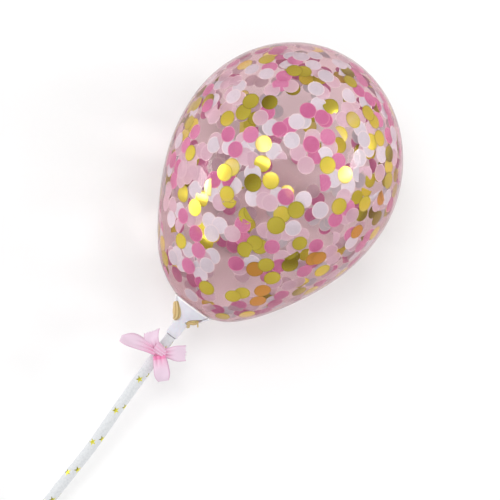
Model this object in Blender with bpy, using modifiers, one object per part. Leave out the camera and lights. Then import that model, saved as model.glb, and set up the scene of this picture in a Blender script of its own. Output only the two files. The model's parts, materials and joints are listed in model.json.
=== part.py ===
"""Balloon cake topper: a small pear-shaped balloon in a slit plastic cup, on a paper straw with a ribbon bow.

Units are metres. The topper is modelled standing, in the frame of an empty: its origin is the middle of the
cup's rim, +Z runs up the straw to the balloon, and -Y is the side that shows. The empty then lays the topper
down, showing side up, on the balloon's flat spot and on the straw's free end.
"""

import math

import bmesh
import bpy
import numpy as np
from mathutils import Matrix, Vector

# Balloon: heights run up from the cup's rim
BALLOON_DIAMETER = 0.1271
BELLY_HEIGHT = 0.093  # of the widest ring
CROWN_RISE = 0.0667  # from the widest ring to the top
CROWN_POWER = 1.93  # 2 is an ellipse, and less is a little flatter in the shoulders
WAIST_DEPTH = 0.85  # how far the pear draws in on its way down to the cup
LEAN = math.radians(2.05)  # of the balloon's axis, to the left
LEAN_CROSSING = -0.0423  # height at which the leaning axis would cross the straw's if it ran on straight
LEAN_START, LEAN_END = -0.002, 0.012  # heights between which the axis bends over
FLAT_RADIUS = 0.012  # flat spot that the balloon lies on

# Cup
RIM_DIAMETER = 0.0243
CUP_DEPTH = 0.0122  # from the rim down to the throat
CUP_WALL = 0.0007
CUP_FILLET = 0.12  # rounding of flare into throat, as a share of the depth
FLOOR_THICKNESS = 0.0012
SOCKET_LENGTH = 0.0080
SOCKET_WALL = 0.0006
SOCKET_TAPER = 0.0002  # by which the socket's outside draws in at its mouth
SLIT_COUNT = 3
SLIT_WIDTH = 0.0007
SLIT_LENGTH = 0.0028  # straight part, from the rim down
WINDOW_LENGTH = 0.0074  # teardrop opening below the slit
WINDOW_WIDTH = 0.0076
FIRST_SLIT = math.radians(60)  # round from the front, to the left

# Straw
STRAW_DIAMETER = 0.0059
STRAW_WALL = 0.0004
STRAW_LENGTH = 0.197
STRAW_FIT = 0.0002  # radial clearance in the socket

# Balloon's neck, wrapped round the throat
NECK_DEPTH = 0.0070  # of its cone inside the cup
NECK_SPACE = 0.0020  # between its cone and the cup's inside
WRAP_RADIUS = 0.0009
BULGE = Vector((0.0019, 0.0018, 0.0038))  # half sizes round, out of and along the cup's flank
BULGE_DROP = 0.0069
BULGE_ANGLE = math.radians(63)
BULGE_OUT = 0.0002  # of the flank's surface, to its middle
LIP = Vector((0.0021, 0.0010, 0.0014))
LIP_DROP = 0.0063
LIP_ANGLE = math.radians(300)
WRAP_DIP = 0.0042  # by which the wrap hangs lower behind the throat
WRAP_DIP_POWER = 0.6  # under 1, it drops soon after it leaves the window
TAIL_RADIUS = 0.0005
TAIL_LENGTH = 0.0032

# Ribbon bow
RIBBON_WIDTH = 0.010
RIBBON_THICKNESS = 0.0005
BOW_REACH = 0.0221  # from the knot to the tip of the longer loop
KNOT_DROP = 0.0309  # from the rim down to the knot
KNOT_LIFT = 0.0053  # from the straw's axis out to the knot
KNOT = Vector((0.0040, 0.0023, 0.0034))  # half sizes across, out of and along the straw
BAND_LENGTH = 0.0060  # along the straw, of the turn round it
BAND_THICKNESS = 0.0006
GATHER = 0.34  # width of the ribbon at the knot, as a share of its full width
GATHER_REACH = 0.75  # share of a strip's reach over which it opens out
ROOT_LIFT = 0.0011  # between the layers of ribbon where they leave the knot
ROOT_SHARE = 0.4  # how far from the knot's middle they start, as a share of its half width

# The strips of the bow. Heading turns from up the straw to the left, bend adds to it towards the tip, and
# cant turns the width out of the bow's plane, all in degrees. Reach and rise are shares of the bow's reach,
# spread is the width near the tip as a share of the ribbon's, and layer is the strip's level in the knot.
STRIPS = {
    "left_loop": dict(
        loop=True, heading=98, bend=8, cant=45,
        reach=1.0, rise=0.13, spread=0.94, layer=1.0,
    ),
    "lower_loop": dict(
        loop=True, heading=-134, bend=0, cant=12,
        reach=0.71, rise=0.13, spread=0.84, layer=0.7,
    ),
    "right_tail": dict(
        loop=False, heading=-57, bend=2, cant=8,
        reach=0.66, rise=0.05, spread=0.86, layer=-0.1,
    ),
    "upper_tail": dict(
        loop=False, heading=70, bend=-16, cant=-10,
        reach=0.55, rise=0.04, spread=0.86, layer=-0.2,
    ),
}

GAP = 0.0003  # between pieces that touch
SEGMENTS = 56
CUP_SEGMENTS = 42
STRAW_SEGMENTS = 32
BALL_SEGMENTS, BALL_RINGS = 18, 12
LOOP_POINTS, TAIL_POINTS = 33, 13  # places along a strip of ribbon
TILT_SAMPLES, TILT_HALVINGS = 2000, 60  # of the search for how the topper lies
MERGE = 0.00001

BALLOON_RADIUS = BALLOON_DIAMETER / 2
RIM_RADIUS = RIM_DIAMETER / 2
STRAW_RADIUS = STRAW_DIAMETER / 2
SOCKET_BORE = STRAW_RADIUS + STRAW_FIT
THROAT_RADIUS = SOCKET_BORE + SOCKET_WALL
SOCKET_TOP = -CUP_DEPTH + FLOOR_THICKNESS / 2
STRAW_TOP = SOCKET_TOP - GAP
STRAW_END = STRAW_TOP - STRAW_LENGTH


def clear_scene():
    for obj in list(bpy.data.objects):
        bpy.data.objects.remove(obj, do_unlink=True)


def make_collection(name):
    collection = bpy.data.collections.new(name)
    bpy.context.scene.collection.children.link(collection)
    return collection


def make_material(name, colour, roughness, metallic=0.0):
    material = bpy.data.materials.new(name)
    material.use_nodes = True
    shader = material.node_tree.nodes["Principled BSDF"]
    shader.inputs["Base Color"].default_value = (*colour, 1.0)
    shader.inputs["Roughness"].default_value = roughness
    shader.inputs["Metallic"].default_value = metallic
    material.diffuse_color = (*colour, 1.0)
    return material


def make_object(name, data, collection, parent, hidden=False):
    obj = bpy.data.objects.new(name, data)
    collection.objects.link(obj)
    obj.parent = parent
    if hidden:
        obj.hide_render = True
        obj.display_type = "WIRE"
    return obj


def finish(obj, material):
    """Gives a piece its material, and smooth shading up to its real edges."""
    obj.data.materials.clear()
    obj.data.materials.append(material)
    obj.data.shade_smooth()
    obj.data.set_sharp_from_angle(angle=math.radians(35))


def evaluated_mesh(obj):
    """The object's mesh with its modifiers or its curve worked out, and its doubles merged."""
    graph = bpy.context.evaluated_depsgraph_get()
    mesh = bpy.data.meshes.new_from_object(obj.evaluated_get(graph))
    tidy = bmesh.new()
    tidy.from_mesh(mesh)
    bmesh.ops.remove_doubles(tidy, verts=tidy.verts, dist=MERGE)
    tidy.to_mesh(mesh)
    tidy.free()
    return mesh


def as_mesh(obj):
    """Replaces an object, a curve too, by a mesh object of the same name and place."""
    name, parent, place = obj.name, obj.parent, obj.matrix_basis.copy()
    collection, hidden = obj.users_collection[0], obj.hide_render
    mesh = evaluated_mesh(obj)
    bpy.data.objects.remove(obj, do_unlink=True)
    replaced = make_object(name, mesh, collection, parent, hidden)
    replaced.matrix_basis = place
    return replaced


def turned(name, profile, segments, collection, parent, hidden=False):
    """A profile of (radius, height) points turned about +Z. It runs down on the outer side."""
    mesh = bpy.data.meshes.new(name)
    points = [(radius, 0.0, height) for radius, height in profile]
    edges = [(i, i + 1) for i in range(len(points) - 1)]
    mesh.from_pydata(points, edges, [])
    obj = make_object(name, mesh, collection, parent, hidden)
    screw = obj.modifiers.new("Screw", "SCREW")
    screw.steps = segments
    screw.render_steps = segments
    screw.use_merge_vertices = True
    screw.merge_threshold = MERGE
    screw.use_smooth_shade = True
    return as_mesh(obj)


def prism(name, outline, depth, collection, parent):
    """A flat outline in X and Z, given a depth that starts at Y = 0 and runs to the front."""
    curve = bpy.data.curves.new(name, "CURVE")
    curve.dimensions = "2D"
    curve.fill_mode = "BOTH"
    curve.extrude = depth / 2
    spline = curve.splines.new("POLY")
    spline.points.add(len(outline) - 1)
    for point, (across, height) in zip(spline.points, outline):
        point.co = (across, height, 0.0, 1.0)
    spline.use_cyclic_u = True
    obj = make_object(name, curve, collection, parent, hidden=True)
    obj.matrix_basis = Matrix.Translation((0, -depth / 2, 0)) @ Matrix.Rotation(math.pi / 2, 4, "X")
    return as_mesh(obj)


def tube(name, points, radius, collection, parent):
    """A round rod along points, with closed ends."""
    curve = bpy.data.curves.new(name, "CURVE")
    curve.dimensions = "3D"
    curve.bevel_depth = radius
    curve.bevel_resolution = 2
    curve.use_fill_caps = True
    spline = curve.splines.new("POLY")
    spline.points.add(len(points) - 1)
    for point, place in zip(spline.points, points):
        point.co = (*place, 1.0)
    return as_mesh(make_object(name, curve, collection, parent, hidden=True))


def ellipsoid(name, half_sizes, place, collection, parent, hidden=True):
    mesh = bpy.data.meshes.new(name)
    ball = bmesh.new()
    bmesh.ops.create_uvsphere(ball, u_segments=BALL_SEGMENTS, v_segments=BALL_RINGS, radius=1.0)
    bmesh.ops.transform(ball, matrix=place @ Matrix.Diagonal((*half_sizes, 1.0)), verts=ball.verts)
    ball.to_mesh(mesh)
    ball.free()
    return make_object(name, mesh, collection, parent, hidden)


def boolean(obj, other, operation):
    modifier = obj.modifiers.new(other.name, "BOOLEAN")
    modifier.operation = operation
    modifier.object = other
    modifier.solver = "EXACT"


def smoothstep(low, high, value):
    share = np.clip((value - low) / (high - low), 0.0, 1.0)
    return share * share * (3 - 2 * share)


def cup_radius(height):
    """Outside of the cup: a straight flare that rounds into the throat."""
    share = np.clip(1 + height / CUP_DEPTH, 0.0, 1.0)
    flare = (np.hypot(share, CUP_FILLET) - CUP_FILLET) / (np.hypot(1, CUP_FILLET) - CUP_FILLET)
    return THROAT_RADIUS + (RIM_RADIUS - THROAT_RADIUS) * flare


def cup_slope(height):
    """Angle of the cup's flank to its axis."""
    step = 0.01 * CUP_DEPTH
    return math.atan2(cup_radius(height + step) - cup_radius(height - step), 2 * step)


def off_flank(height, distance):
    """Radius and height of the point at this distance from the flank, square to it."""
    slope = cup_slope(height)
    return cup_radius(height) + distance * math.cos(slope), height - distance * math.sin(slope)


def cup_inside(height):
    return cup_radius(height) - CUP_WALL / math.cos(cup_slope(height))


def round_axis(angle, radius, height):
    """A point at an angle round from the front, to the left."""
    return Vector((-radius * math.sin(angle), -radius * math.cos(angle), height))


def on_flank(angle, height, out):
    """Place on the cup's flank, with local Y out of it and local Z along it."""
    radius, level = off_flank(height, out)
    return (
        Matrix.Rotation(-angle, 4, "Z")
        @ Matrix.Translation((0, -radius, level))
        @ Matrix.Rotation(cup_slope(height), 4, "X")
    )


def pear_radius(height):
    """Outline of the balloon: part of an ellipse above its widest ring, and a pear's waist below it."""
    up = np.clip((height - BELLY_HEIGHT) / CROWN_RISE, 0.0, 1.0)
    seat = math.sqrt(1 - (RIM_RADIUS / BALLOON_RADIUS) ** 2)
    reach = (BELLY_HEIGHT - GAP) / seat
    down = np.clip((BELLY_HEIGHT - height) / reach, 0.0, 1.0)
    crown = np.sqrt(1 - up**CROWN_POWER)
    waist = np.sqrt(1 - down**2) * (1 - WAIST_DEPTH * down**3 * (1 - down))
    return BALLOON_RADIUS * np.where(height > BELLY_HEIGHT, crown, waist)


def lean(height):
    """How far the balloon's axis has moved to the left of the straw's."""
    return math.tan(LEAN) * (height - LEAN_CROSSING) * smoothstep(LEAN_START, LEAN_END, height)


def lie():
    """Tilt of the straw, and height of the rim's middle above the surface that the topper lies on."""
    heights = np.linspace(0.0, BELLY_HEIGHT + CROWN_RISE, TILT_SAMPLES)
    depth = BALLOON_RADIUS - math.sqrt(BALLOON_RADIUS**2 - FLAT_RADIUS**2)
    low, high = 0.0, math.pi / 4
    for _ in range(TILT_HALVINGS):
        tilt = (low + high) / 2
        belly = np.min(heights * math.sin(tilt) - pear_radius(heights) * math.cos(tilt))
        end = STRAW_END * math.sin(tilt) - STRAW_RADIUS * math.cos(tilt)
        if belly + depth < end:
            low = tilt
        else:
            high = tilt
    return tilt, -end


def build_balloon(collection, helpers, parent):
    """The balloon, with its neck pulled out of one window of the cup, round the throat and into another."""
    turns = np.linspace(math.pi / 2, 0, 17)
    crown = BELLY_HEIGHT + CROWN_RISE * np.sin(turns)
    rim_turn = math.acos(RIM_RADIUS / BALLOON_RADIUS)
    turns = np.linspace(0, rim_turn, 20)[1:]
    waist = BELLY_HEIGHT - (BELLY_HEIGHT - GAP) * np.sin(turns) / math.sin(rim_turn)
    profile = [(float(pear_radius(height)), height) for height in (*crown, *waist)]
    for height in -NECK_DEPTH * np.array((0.0, 0.07, 0.2, 0.45, 0.7, 1.0)):
        neck = cup_inside(height) - NECK_SPACE
        profile.append((float(max(pear_radius(height), neck)), height))
    profile.append((0.0, -NECK_DEPTH))
    profile[0] = (0.0, BELLY_HEIGHT + CROWN_RISE)

    balloon = turned("balloon", profile, SEGMENTS, collection, parent)
    for vertex in balloon.data.vertices:
        vertex.co.x -= float(lean(vertex.co.z))

    bulge = on_flank(BULGE_ANGLE, -BULGE_DROP, BULGE_OUT)
    lip = on_flank(LIP_ANGLE, -LIP_DROP, 0.0)
    angles = np.linspace(BULGE_ANGLE, LIP_ANGLE, 19)
    route = [bulge.translation]
    for angle in angles[1:-1]:
        share = (angle - BULGE_ANGLE) / (LIP_ANGLE - BULGE_ANGLE)
        dip = WRAP_DIP * math.sin(math.pi * share) ** WRAP_DIP_POWER
        foot = -BULGE_DROP + (BULGE_DROP - LIP_DROP) * share - dip
        route.append(round_axis(angle, *off_flank(foot, WRAP_RADIUS + GAP)))
    route.append(lip.translation)
    inside = round_axis(BULGE_ANGLE, NECK_SPACE, -NECK_DEPTH + WRAP_RADIUS)
    tail = lip @ Vector((0, -TAIL_LENGTH, -TAIL_LENGTH / 2))
    joined = (
        ellipsoid("neck_bulge", BULGE, bulge, helpers, parent),
        tube("neck_wrap", route, WRAP_RADIUS, helpers, parent),
        tube("neck_link", [inside, bulge.translation], WRAP_RADIUS, helpers, parent),
        ellipsoid("neck_lip", LIP, lip, helpers, parent),
        tube("neck_tail", [lip.translation, tail], TAIL_RADIUS, helpers, parent),
    )
    for piece in joined:
        boolean(balloon, piece, "UNION")

    side = 4 * BALLOON_DIAMETER
    ground = bpy.data.meshes.new("ground")
    block = bmesh.new()
    bmesh.ops.create_cube(block, size=side)
    bmesh.ops.translate(block, verts=block.verts, vec=(0, 0, -side / 2))
    block.to_mesh(ground)
    block.free()
    boolean(balloon, make_object("ground", ground, helpers, None, hidden=True), "DIFFERENCE")
    return balloon


def window_outline():
    """Right half of a slit and its teardrop window, then the left half back up."""
    top = RIM_RADIUS / 2
    shares = 1 - np.cos(np.linspace(0, math.pi / 2, 13)) ** 2
    widest = 2 / 3 * math.sqrt(1 / 3)
    spread = shares * np.sqrt(1 - shares) / widest
    halves = (SLIT_WIDTH + (WINDOW_WIDTH - SLIT_WIDTH) * spread) / 2
    halves[-1] = SLIT_WIDTH / 4
    heights = -SLIT_LENGTH - WINDOW_LENGTH * shares
    right = [(SLIT_WIDTH / 2, top), *zip(halves.tolist(), heights.tolist())]
    return right + [(-across, height) for across, height in reversed(right)]


def build_cup(collection, helpers, parent):
    """The slit cup and, below its throat, the socket that takes the straw."""
    floor = SOCKET_TOP + FLOOR_THICKNESS
    outside = np.linspace(0, -CUP_DEPTH, 10)
    inside = np.linspace(floor, 0, 8)
    mouth = SOCKET_TOP - SOCKET_LENGTH
    profile = [(0.0, floor)]
    profile += [(float(cup_inside(height)), height) for height in inside[:-1]]
    profile.append((RIM_RADIUS - CUP_WALL, 0.0))
    profile += [(float(cup_radius(height)), height) for height in outside]
    profile += [
        (THROAT_RADIUS - SOCKET_TAPER, mouth),
        (SOCKET_BORE, mouth),
        (SOCKET_BORE, SOCKET_TOP),
        (0.0, SOCKET_TOP),
    ]
    cup = turned("balloon_cup", profile, CUP_SEGMENTS, collection, parent)
    for number in range(SLIT_COUNT):
        angle = FIRST_SLIT + number * 2 * math.pi / SLIT_COUNT
        window = prism(f"window_{number + 1}", window_outline(), 2 * RIM_RADIUS, helpers, parent)
        window.matrix_basis = Matrix.Rotation(-angle, 4, "Z") @ window.matrix_basis
        boolean(cup, window, "DIFFERENCE")
    return cup


def build_straw(collection, parent):
    """A plain paper tube."""
    bore = STRAW_RADIUS - STRAW_WALL
    profile = [
        (bore, STRAW_TOP),
        (STRAW_RADIUS, STRAW_TOP),
        (STRAW_RADIUS, STRAW_END),
        (bore, STRAW_END),
        (bore, STRAW_TOP),
    ]
    return turned("paper_straw", profile, STRAW_SEGMENTS, collection, parent)


def strip_path(strip):
    """Places along the middle of a strip of ribbon, and the directions across it.

    Both are rows of (along the straw, to the left, out from the knot). A loop goes out and comes back, and a
    tail only goes out.
    """
    share = np.linspace(0, 1, LOOP_POINTS if strip["loop"] else TAIL_POINTS)
    if strip["loop"]:
        gone = (1 - np.cos(2 * math.pi * share)) / 2
        lift = strip["rise"] * BOW_REACH * np.sin(2 * math.pi * share) * np.sqrt(gone)
        lift += ROOT_LIFT * strip["layer"] * np.cos(math.pi * share)
    else:
        gone = share
        lift = strip["rise"] * BOW_REACH * np.sin(math.pi * share)
        lift += ROOT_LIFT * strip["layer"] * (1 - share)
    root = ROOT_SHARE * KNOT.x
    distance = root + (strip["reach"] * BOW_REACH - root) * gone
    heading = math.radians(strip["heading"]) + math.radians(strip["bend"]) * gone**2
    ahead, aside, flat = np.cos(heading), np.sin(heading), np.zeros_like(heading)
    places = np.stack([distance * ahead, distance * aside, lift], axis=1)
    cant = math.radians(strip["cant"])
    across = np.stack([-aside * math.cos(cant), ahead * math.cos(cant), flat + math.sin(cant)], axis=1)
    width = RIBBON_WIDTH * (GATHER + (strip["spread"] - GATHER) * smoothstep(0.0, GATHER_REACH, gone))
    return places, across * width[:, None]


def ribbon_strip(name, strip, collection, parent):
    """One strip of the bow: three points across at each place along it, given the ribbon's thickness."""
    places, across = strip_path(strip)
    knot = np.array((0.0, -KNOT_LIFT, -KNOT_DROP))
    standing = np.array(((0, 0, 1), (-1, 0, 0), (0, -1, 0)))
    columns = np.array((-0.5, 0.0, 0.5))
    points = places[:, None] + across[:, None] * columns[None, :, None]
    points = (knot + points @ standing).reshape(-1, 3)
    wide = len(columns)
    faces = [
        (i * wide + j, i * wide + j + 1, (i + 1) * wide + j + 1, (i + 1) * wide + j)
        for i in range(len(places) - 1)
        for j in range(wide - 1)
    ]
    mesh = bpy.data.meshes.new(name)
    mesh.from_pydata(points.tolist(), [], faces)
    obj = make_object(name, mesh, collection, parent, hidden=True)
    solid = obj.modifiers.new("Solidify", "SOLIDIFY")
    solid.thickness = RIBBON_THICKNESS
    solid.offset = 0.0
    return as_mesh(obj)


def build_bow(collection, helpers, parent):
    """The bow, all one ribbon: its knot, two loops and two tails, and a turn of ribbon round the straw."""
    place = Matrix.Translation((0, -KNOT_LIFT, -KNOT_DROP))
    bow = ellipsoid("ribbon_bow", KNOT, place, collection, parent, hidden=False)
    for name, strip in STRIPS.items():
        boolean(bow, ribbon_strip(name, strip, helpers, parent), "UNION")

    inner = STRAW_RADIUS + GAP
    outer = inner + BAND_THICKNESS
    top, bottom = -KNOT_DROP + BAND_LENGTH / 2, -KNOT_DROP - BAND_LENGTH / 2
    middle = (inner + outer) / 2
    high, low = top + BOW_REACH, bottom - BOW_REACH
    shaft = [(0.0, high), (middle, high), (middle, low), (0.0, low)]
    band = [(inner, top), (outer, top), (outer, bottom), (inner, bottom), (inner, top)]
    clearance = turned("straw_clearance", shaft, STRAW_SEGMENTS, helpers, parent, hidden=True)
    boolean(bow, clearance, "DIFFERENCE")
    boolean(bow, turned("bow_band", band, STRAW_SEGMENTS, helpers, parent, hidden=True), "UNION")
    return bow


def centre_on_ground(pieces, frame):
    """Moves the frame so that the middle of the whole topper's box is above the world's origin."""
    bpy.context.view_layer.update()
    graph = bpy.context.evaluated_depsgraph_get()
    places = []
    for piece in pieces:
        mesh = piece.evaluated_get(graph).to_mesh()
        places += [piece.matrix_world @ vertex.co for vertex in mesh.vertices]
    for axis in (0, 1):
        values = [place[axis] for place in places]
        frame.location[axis] -= (min(values) + max(values)) / 2


def main():
    clear_scene()
    collection = make_collection("balloon_cake_topper")
    helpers = make_collection("cutters")

    tilt, rim_height = lie()
    frame = make_object("topper_frame", None, collection, None)
    laid = Matrix(((0, 0, 1), (-1, 0, 0), (0, -1, 0)))
    frame.rotation_euler = (Matrix.Rotation(-tilt, 3, "Y") @ laid).to_euler()
    frame.location = (0, 0, rim_height)
    bpy.context.view_layer.update()

    balloon = build_balloon(collection, helpers, frame)
    cup = build_cup(collection, helpers, frame)
    straw = build_straw(collection, frame)
    bow = build_bow(collection, helpers, frame)

    finish(balloon, make_material("pink_latex", (0.80, 0.42, 0.46), 0.15))
    finish(cup, make_material("white_polypropylene", (0.80, 0.80, 0.84), 0.35))
    finish(straw, make_material("white_paper", (0.82, 0.82, 0.83), 0.60))
    finish(bow, make_material("pink_satin", (0.85, 0.45, 0.63), 0.40))
    centre_on_ground((balloon, cup, straw, bow), frame)


main()
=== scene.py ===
import json
import math

import bmesh
import bpy
import numpy as np
from mathutils import Matrix, Vector


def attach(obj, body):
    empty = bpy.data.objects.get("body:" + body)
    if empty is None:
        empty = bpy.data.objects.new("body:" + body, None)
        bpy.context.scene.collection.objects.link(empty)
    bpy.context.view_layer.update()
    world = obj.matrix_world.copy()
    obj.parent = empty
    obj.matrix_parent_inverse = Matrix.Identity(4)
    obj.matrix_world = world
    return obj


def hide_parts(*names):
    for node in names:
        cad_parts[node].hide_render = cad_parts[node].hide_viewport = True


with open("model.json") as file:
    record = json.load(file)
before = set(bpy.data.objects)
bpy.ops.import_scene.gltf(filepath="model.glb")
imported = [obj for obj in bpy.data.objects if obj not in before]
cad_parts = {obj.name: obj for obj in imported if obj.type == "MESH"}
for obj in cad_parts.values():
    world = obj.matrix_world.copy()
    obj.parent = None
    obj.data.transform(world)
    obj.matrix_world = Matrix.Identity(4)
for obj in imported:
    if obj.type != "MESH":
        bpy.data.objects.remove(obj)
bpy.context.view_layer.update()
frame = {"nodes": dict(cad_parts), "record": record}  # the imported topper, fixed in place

print("frame loaded:", sorted(frame["nodes"]))

# Looks of the balloon cake topper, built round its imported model. All lengths are metres.
# The topper is worked out standing, in its own axes: x to the right, y to the back, z up the straw, from the
# middle of the cup's rim. layDown turns and moves it to where the record's straw_end mount has it lying.
strawEndHeight = -0.2089
strawMiddleWall = 0.00275
endMount = next(m for m in frame["record"]["mounts"] if m["name"] == "straw_end")
standingZ = -np.array(endMount["axis"], float)
standingX = np.array([0.0, -1.0, 0.0])
standingY = np.cross(standingZ, standingX)
standingAxes = np.stack([standingX, standingY, standingZ])
endInTopper = np.array([0, -strawMiddleWall, strawEndHeight])
rimMiddle = np.array(endMount["pos_m"], float) - endInTopper @ standingAxes


def layDown(points):
    return rimMiddle + np.asarray(points, float) @ standingAxes


# 0 below low, 1 above high, and an S-shaped ease between them
def smoothStep(low, high, value):
    share = np.clip((value - low) / (high - low), 0.0, 1.0)
    return share * share * (3 - 2 * share)


def unit(vectors):
    return vectors / (np.linalg.norm(vectors, axis=-1, keepdims=True) + 1e-12)


# sRGB hex to a linear colour
def hexColour(code):
    values = [int(code[i:i + 2], 16) / 255 for i in (1, 3, 5)]
    return tuple(v / 12.92 if v <= 0.04045 else ((v + 0.055) / 1.055) ** 2.4 for v in values) + (1.0,)


# adds one node: settings are its properties, and inputs are values or other nodes' outputs
def addNode(material, kind, inputs=None, **settings):
    tree = material.node_tree
    made = tree.nodes.new(kind)
    for name, value in settings.items():
        setattr(made, name, value)
    for socket, value in (inputs or {}).items():
        if isinstance(value, bpy.types.NodeSocket):
            tree.links.new(value, made.inputs[socket])
        else:
            made.inputs[socket].default_value = value
    return made


# a Principled material: inputs are plain values, and linkTo joins what varies over the surface
def newMaterial(name, inputs):
    material = bpy.data.materials.new(name)
    material.use_nodes = True
    shader = material.node_tree.nodes["Principled BSDF"]
    for socket, value in inputs.items():
        shader.inputs[socket].default_value = value
    return material


def linkTo(material, outputs):
    for socket, output in outputs.items():
        material.node_tree.links.new(output, material.node_tree.nodes["Principled BSDF"].inputs[socket])


# a fine grain: noise over the object that also raises the surface a little, and is given back for the colours
def addGrain(material, scale, detail, strength, height):
    place = addNode(material, "ShaderNodeTexCoord").outputs["Object"]
    grain = addNode(material, "ShaderNodeTexNoise", {"Vector": place, "Scale": scale, "Detail": detail})
    bump = addNode(material, "ShaderNodeBump", {
        "Height": grain.outputs["Fac"], "Strength": strength, "Distance": height})
    linkTo(material, {"Normal": bump.outputs["Normal"]})
    return grain.outputs["Fac"]


# the colours of a ramp node, from pairs of place and hex colour
def setRamp(ramp, stops):
    elements = ramp.color_ramp.elements
    for number, (place, code) in enumerate(stops):
        stop = elements[number] if number < 2 else elements.new(place)
        stop.position = place
        stop.color = hexColour(code)


# a smooth curve through a table's rows, in as many places as asked: Catmull and Rom's cubic between pairs
def smoothRows(table, count):
    table = np.asarray(table, float)
    padded = np.concatenate([2 * table[:1] - table[1:2], table, 2 * table[-1:] - table[-2:-1]])
    where = np.linspace(0, len(table) - 1, count)
    first = np.minimum(where.astype(int), len(table) - 2)
    t = (where - first)[:, None]
    before, start, end, after = (padded[first + k] for k in range(4))
    bend = 2 * before - 5 * start + 4 * end - after
    twist = 3 * start - before - 3 * end + after
    return 0.5 * (2 * start + (end - before) * t + bend * t ** 2 + twist * t ** 3)


# row and column of each corner of a grid's faces, counted on past the last one where the grid joins up
def gridCorners(rows, columns, wrap=False, closed=False):
    ends = np.arange(rows if closed else rows - 1), np.arange(columns if wrap else columns - 1)
    row, column = np.meshgrid(*ends, indexing="ij")
    corners = (row, row, row + 1, row + 1), (column, column + 1, column + 1, column)
    return tuple(np.stack(part, axis=-1).reshape(-1, 4) for part in corners)


def gridFaces(rows, columns, wrap=False, closed=False):
    row, column = gridCorners(rows, columns, wrap, closed)
    return row % rows * columns + column % columns


def addObject(name, data):
    made = bpy.data.objects.new(name, data)
    bpy.context.scene.collection.objects.link(made)
    return made


# a mesh object with its place in its mesh: doubled points are merged and faces turned outwards
def makePiece(name, points, faces, material, stands=(), uv=None, values=None, sharp=None):
    mesh = bpy.data.meshes.new(name)
    mesh.from_pydata(layDown(np.reshape(points, (-1, 3))).tolist(), [], np.asarray(faces).tolist())
    mesh.polygons.foreach_set("use_smooth", np.ones(len(mesh.polygons), bool))
    mesh.materials.append(material)
    if uv is not None:
        mesh.uv_layers.new(name="UVMap").data.foreach_set("uv", np.ravel(uv))
    for label, numbers in (values or {}).items():
        mesh.attributes.new(label, "FLOAT", "POINT").data.foreach_set("value", np.ravel(numbers))
    work = bmesh.new()
    work.from_mesh(mesh)
    bmesh.ops.remove_doubles(work, verts=work.verts, dist=1e-6)
    bmesh.ops.recalc_face_normals(work, faces=work.faces)
    work.to_mesh(mesh)
    work.free()
    if sharp:
        mesh.set_sharp_from_angle(angle=math.radians(sharp))
    piece = addObject(name, mesh)
    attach(piece, "root")
    if stands:
        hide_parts(*stands)
    return piece


def addSolidify(piece, thickness, offset):
    solid = piece.modifiers.new("wall", "SOLIDIFY")
    solid.thickness = thickness
    solid.offset = offset
    return solid


# Studio: floor, lamps and camera
studio = {
    "strawAngle": math.radians(53.4),  # at which the straw climbs to the right across the picture
    "aim": (0.00661, 0.0, 0.04333),
    "distance": 0.9,
    "frameWidth": 0.2731,
    "picturePixels": 500,
    "floorColour": "#FDFDFD",
    "floorHalf": 3.0,
    "worldStrength": 0.76,
    # lamps: places to the right, up and back from the aim as the camera sees them, size and power
    "lamps": {
        "leftLamp": (-0.94, 0.14, 0.26, 0.26, 2.2),
        "rightLamp": (0.9, 0.1, 0.4, 0.26, 2.2),
        "topLamp": (-0.1, 0.35, 1.15, 0.5, 3.0),
    },
}

turn = studio["strawAngle"]
cameraRight = np.array([math.sin(turn), 0, math.cos(turn)]) @ standingAxes
cameraUp = np.array([-math.cos(turn), 0, math.sin(turn)]) @ standingAxes
cameraBack = np.cross(cameraRight, cameraUp)
aim = layDown(studio["aim"])


def viewPlace(right, up, back):
    return aim + right * cameraRight + up * cameraUp + back * cameraBack


# where points of the world show in the picture, in pixels from its left and its top
def pictureOf(points):
    away = points - viewPlace(0, 0, studio["distance"])
    scale = studio["picturePixels"] * studio["distance"] / studio["frameWidth"] / -(away @ cameraBack)
    half = studio["picturePixels"] / 2
    return np.stack([half + scale * (away @ cameraRight), half - scale * (away @ cameraUp)], axis=-1)


def buildStudio():
    side = studio["floorHalf"]
    floor = addObject("floor", bpy.data.meshes.new("floor"))
    corners = [(-side, -side, 0), (side, -side, 0), (side, side, 0), (-side, side, 0)]
    floor.data.from_pydata(corners, [], [(0, 1, 2, 3)])
    floor.data.materials.append(newMaterial("mattFloor", {
        "Base Color": hexColour(studio["floorColour"]), "Roughness": 0.9, "Specular IOR Level": 0.1}))

    world = bpy.data.worlds.new("studioLight")
    bpy.context.scene.world = world
    world.use_nodes = True
    light = world.node_tree.nodes["Background"].inputs
    light["Color"].default_value = (1.0, 1.0, 1.0, 1.0)
    light["Strength"].default_value = studio["worldStrength"]
    for name, (right, up, back, size, power) in studio["lamps"].items():
        lamp = bpy.data.lights.new(name, "AREA")
        lamp.shape = "DISK"
        lamp.size = size
        lamp.energy = power
        holder = addObject(name, lamp)
        holder.location = viewPlace(right, up, back)
        holder.rotation_euler = (Vector(aim) - holder.location).to_track_quat("-Z", "Y").to_euler()

    camera = bpy.data.cameras.new("camera")
    camera.sensor_width = 36.0
    camera.lens = camera.sensor_width * studio["distance"] / studio["frameWidth"]
    holder = addObject("camera", camera)
    place = Matrix(np.stack([cameraRight, cameraUp, cameraBack], axis=1).tolist()).to_4x4()
    place.translation = viewPlace(0, 0, studio["distance"])
    holder.matrix_world = place
    bpy.context.scene.camera = holder
    bpy.context.scene.view_settings.view_transform = "Standard"
    bpy.context.scene.cycles.transparent_max_bounces = 32  # the discs lie many deep


buildStudio()
print("studio made")

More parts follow.
